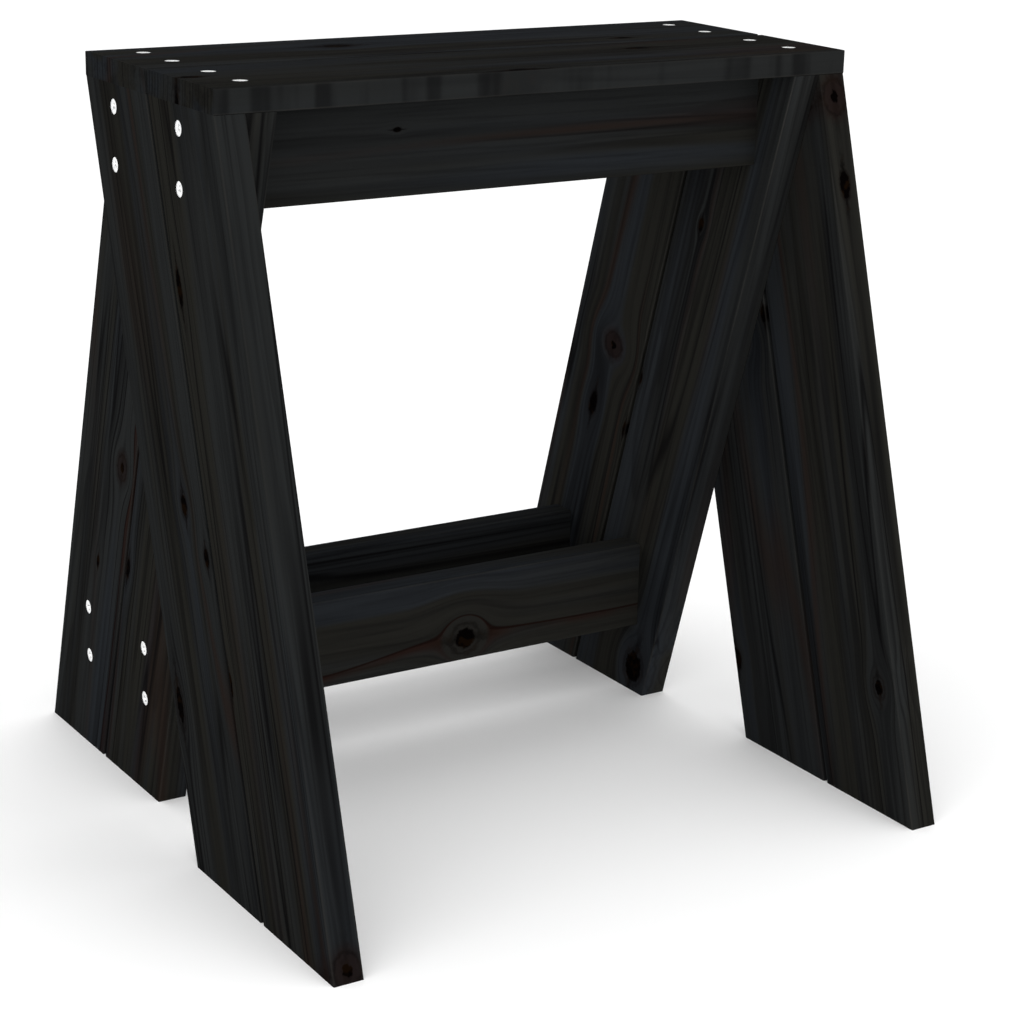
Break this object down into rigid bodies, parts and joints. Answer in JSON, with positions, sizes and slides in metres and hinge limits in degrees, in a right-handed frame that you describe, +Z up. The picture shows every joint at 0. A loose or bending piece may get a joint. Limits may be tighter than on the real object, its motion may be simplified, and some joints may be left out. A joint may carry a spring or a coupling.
{
  "type": "wooden sawhorse",
  "caption": "Low wooden sawhorse of stool size, with a flat slatted top on crossed, splayed board legs and rails between the ends, screwed together.",
  "frame": {"origin": "on the floor, under the middle of the top", "axes": "+Z up; +X along the top, to the right seen from the front; -Y is the front, where the outer legs' feet stand"},
  "size_m": [0.408, 0.42, 0.445],
  "materials": {
    "stained_pine": "black stain with the grain and knots showing through, satin to matte",
    "bright_zinc": "bright zinc plating on countersunk wood screws"
  },
  "bodies": {
    "root": {"top_board_front": "stained_pine", "top_board_rear": "stained_pine", "left_outer_leg_front": "stained_pine", "left_outer_leg_rear": "stained_pine", "left_inner_leg_front": "stained_pine", "left_inner_leg_rear": "stained_pine", "right_outer_leg_front": "stained_pine", "right_outer_leg_rear": "stained_pine", "right_inner_leg_front": "stained_pine", "right_inner_leg_rear": "stained_pine", "upper_rail_front": "stained_pine", "upper_rail_rear": "stained_pine", "lower_rail_front": "stained_pine", "lower_rail_rear": "stained_pine", "top_screws_left": "bright_zinc", "top_screws_right": "bright_zinc", "upper_rail_screws_left": "bright_zinc", "upper_rail_screws_right": "bright_zinc", "lower_rail_screws_left": "bright_zinc", "lower_rail_screws_right": "bright_zinc"}
  },
  "joints": []
}
